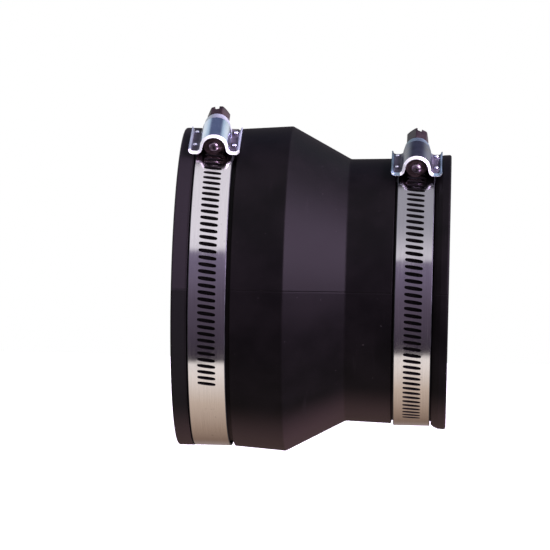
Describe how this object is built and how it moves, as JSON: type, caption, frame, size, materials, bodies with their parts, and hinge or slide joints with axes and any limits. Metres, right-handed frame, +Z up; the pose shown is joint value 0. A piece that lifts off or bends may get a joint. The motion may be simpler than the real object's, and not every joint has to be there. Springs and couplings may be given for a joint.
{
  "type": "flexible reducing pipe coupling",
  "caption": "Flexible rubber sleeve that joins two plain pipes of different diameters, held by slotted worm-drive band clamps.",
  "frame": {"origin": "centre of the large socket's mouth", "axes": "+X along the pipe axis from the large socket to the small one, +Z up, clamp screws above the sleeve and turned towards -Y"},
  "size_m": [0.1052, 0.1286, 0.135],
  "materials": {
    "black_rubber": "satin moulded",
    "band_steel": "brushed stainless",
    "housing_steel": "pressed stainless",
    "screw_steel": "dull plated",
    "rivet_steel": "bright"
  },
  "bodies": {
    "sleeve": {"sleeve": "black_rubber"},
    "large_clamp": {"large_band_anchored_half": "band_steel", "large_saddle": "housing_steel", "large_screw_housing": "housing_steel", "large_rivet_front_left": "rivet_steel", "large_rivet_front_right": "rivet_steel", "large_rivet_rear_left": "rivet_steel", "large_rivet_rear_right": "rivet_steel"},
    "large_slotted_band": {"large_band_slotted_half": "band_steel"},
    "large_screw": {"large_worm_screw": "screw_steel"},
    "small_clamp": {"small_band_anchored_half": "band_steel", "small_saddle": "housing_steel", "small_screw_housing": "housing_steel", "small_rivet_front_left": "rivet_steel", "small_rivet_front_right": "rivet_steel", "small_rivet_rear_left": "rivet_steel", "small_rivet_rear_right": "rivet_steel"},
    "small_slotted_band": {"small_band_slotted_half": "band_steel"},
    "small_screw": {"small_worm_screw": "screw_steel"}
  },
  "joints": [
    {"name": "large_clamp_turn", "type": "hinge", "parent": "sleeve", "child": "large_clamp", "pos_m": [0.01365, 0, 0], "axis": [1, 0, 0], "continuous": true},
    {"name": "large_screw_turn", "type": "hinge", "parent": "large_clamp", "child": "large_screw", "pos_m": [0.01365, -0.03224, 0.05816], "axis": [0, -0.8746, -0.4848], "range_deg": [-2160, 540]},
    {"name": "large_band_draw", "type": "hinge", "parent": "large_clamp", "child": "large_slotted_band", "pos_m": [0.01365, 0, 0], "axis": [-1, 0, 0], "range_deg": [-14.64, 3.7]},
    {"name": "small_clamp_turn", "type": "hinge", "parent": "sleeve", "child": "small_clamp", "pos_m": [0.0917, 0, 0], "axis": [1, 0, 0], "continuous": true},
    {"name": "small_screw_turn", "type": "hinge", "parent": "small_clamp", "child": "small_screw", "pos_m": [0.0917, -0.02445, 0.05127], "axis": [0, -0.9026, -0.4305], "range_deg": [-2160, 540]},
    {"name": "small_band_draw", "type": "hinge", "parent": "small_clamp", "child": "small_slotted_band", "pos_m": [0.0917, 0, 0], "axis": [-1, 0, 0], "range_deg": [-17.32, 4.37]}
  ],
  "couplings": [
    {"joint": "large_band_draw", "follows": "large_screw_turn", "ratio": 0.0067536},
    {"joint": "small_band_draw", "follows": "small_screw_turn", "ratio": 0.0079955}
  ]
}
